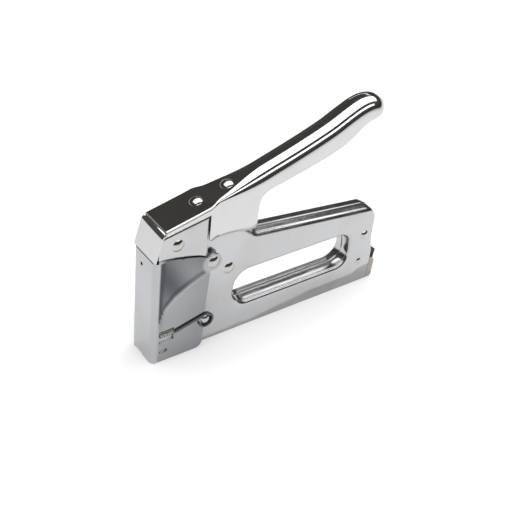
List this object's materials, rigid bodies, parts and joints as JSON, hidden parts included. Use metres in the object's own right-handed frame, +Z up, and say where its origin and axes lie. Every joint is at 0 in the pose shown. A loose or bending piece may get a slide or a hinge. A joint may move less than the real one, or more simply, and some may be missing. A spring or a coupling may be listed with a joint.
{
  "type": "staple gun",
  "caption": "Light-duty all-steel hand tacker with a squeeze handle over a finger-loop body and a pull-out staple pusher.",
  "frame": {"origin": "On the plane of the flat underside, under the middle of the tool's overall length and width", "axes": "+X towards the rear of the tool, +Y to its right side, +Z up towards the squeeze handle"},
  "size_m": [0.1654, 0.025, 0.1319],
  "materials": {
    "chrome_sheet": "bright nickel-chrome plate on pressed sheet",
    "chrome_rivets": "bright plated domed rivets",
    "spring_wire": "drawn spring wire, lightly oiled",
    "inner_steel": "zinc-plated inner parts",
    "black_catch": "black oxide"
  },
  "bodies": {
    "frame": {"shell_left": "chrome_sheet", "shell_right": "chrome_sheet", "nose_cover": "chrome_sheet", "front_cap": "chrome_sheet", "spring_seat": "inner_steel", "guide_plate": "inner_steel", "guide_block": "inner_steel", "pivot_pin": "chrome_rivets", "loop_rivet": "chrome_rivets", "keeper_rivet": "chrome_rivets", "rear_rivet_upper": "chrome_rivets", "rear_rivet_lower": "chrome_rivets", "head_rivets": "chrome_rivets", "keeper_spring_left": "spring_wire", "keeper_spring_right": "spring_wire", "magazine_track": "chrome_sheet", "staple_rail": "inner_steel", "power_spring": "spring_wire"},
    "handle": {"handle": "chrome_sheet", "lever_bracket": "inner_steel", "lift_lever": "inner_steel", "lever_spacers": "inner_steel", "lever_pin": "inner_steel", "pivot_sleeve": "inner_steel", "handle_rivets": "chrome_rivets"},
    "striker": {"striker_blade": "inner_steel", "striker_head": "inner_steel"},
    "pusher": {"pusher_rod": "inner_steel", "latch_holder": "chrome_sheet", "latch_pin": "inner_steel", "feed_spring": "spring_wire"},
    "follower": {"staple_follower": "inner_steel"},
    "catch": {"latch_catch": "black_catch"}
  },
  "joints": [
    {"name": "handle_squeeze", "type": "hinge", "parent": "frame", "child": "handle", "pos_m": [-0.04556, 0, 0.0587], "axis": [0, 1, 0], "range_deg": [0, 24], "stiffness_Nm_per_rad": 8, "springref_deg": -8.59},
    {"name": "striker_lift", "type": "slide", "parent": "frame", "child": "striker", "axis": [0, 0, 1], "range_m": [0, 0.0137], "deforming": ["power_spring"]},
    {"name": "pusher_pull", "type": "slide", "parent": "frame", "child": "pusher", "axis": [1, 0, 0], "range_m": [0, 0.12]},
    {"name": "follower_travel", "type": "slide", "parent": "pusher", "child": "follower", "axis": [1, 0, 0], "range_m": [0, 0.11], "stiffness_N_per_m": 25, "springref_m": -0.02, "deforming": ["feed_spring"]},
    {"name": "catch_press", "type": "hinge", "parent": "pusher", "child": "catch", "pos_m": [0.08034, 0, 0.0032], "axis": [0, 1, 0], "range_deg": [0, 8], "stiffness_Nm_per_rad": 0.05, "springref_deg": -5.73}
  ],
  "couplings": [
    {"joint": "striker_lift", "follows": "handle_squeeze", "m_per_rad": 0.0325}
  ]
}
